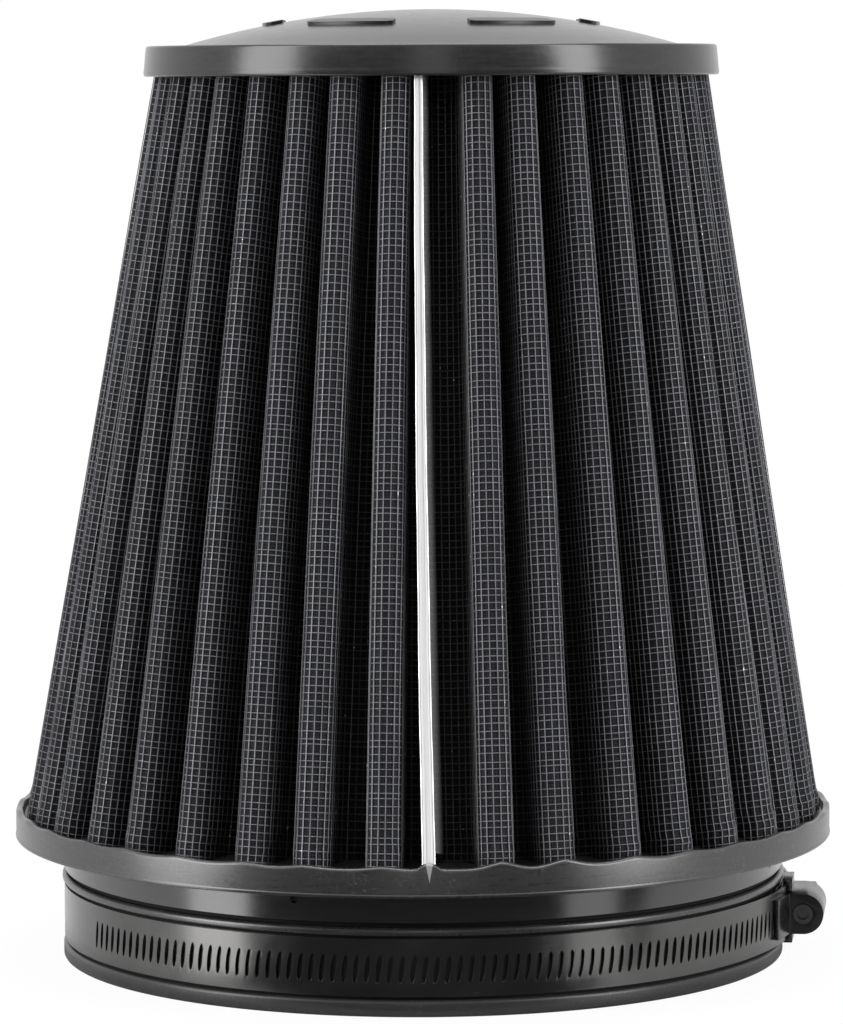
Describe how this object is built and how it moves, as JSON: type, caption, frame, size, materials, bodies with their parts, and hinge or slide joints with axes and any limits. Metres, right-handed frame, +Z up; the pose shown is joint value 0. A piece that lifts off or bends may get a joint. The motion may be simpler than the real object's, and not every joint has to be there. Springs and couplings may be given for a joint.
{
  "type": "performance air filter",
  "caption": "Cone-shaped clamp-on engine air filter with a pleated gauze and wire mesh pack, moulded domed cap, moulded base with a round neck and a worm-drive band clamp.",
  "frame": {"origin": "centre of the neck's mouth, in the plane of the lower lip", "axes": "+Z up along the neck's axis towards the dome, -Y towards the pack's seam clip, and the clamp's screw housing near +X"},
  "size_m": [0.1906, 0.1906, 0.2193],
  "materials": {
    "moulded_urethane": "satin",
    "coated_mesh": "satin",
    "gauze": "matt",
    "clip_aluminium": "polished",
    "clamp_steel": "satin",
    "screw_steel": "satin"
  },
  "bodies": {
    "filter": {"top_cap": "moulded_urethane", "base_flange": "moulded_urethane", "outer_screen": "coated_mesh", "gauze_pack": "gauze", "inner_screen": "coated_mesh", "seam_clip": "clip_aluminium", "clamp_band": "clamp_steel", "clamp_housing": "clamp_steel", "clamp_saddle": "clamp_steel"},
    "clamp_screw": {"clamp_screw": "screw_steel"}
  },
  "joints": [
    {"name": "clamp_screw_turn", "type": "hinge", "parent": "filter", "child": "clamp_screw", "pos_m": [0.08882, -0.01091, 0.0108], "axis": [0.1219, 0.9925, 0], "continuous": true}
  ]
}
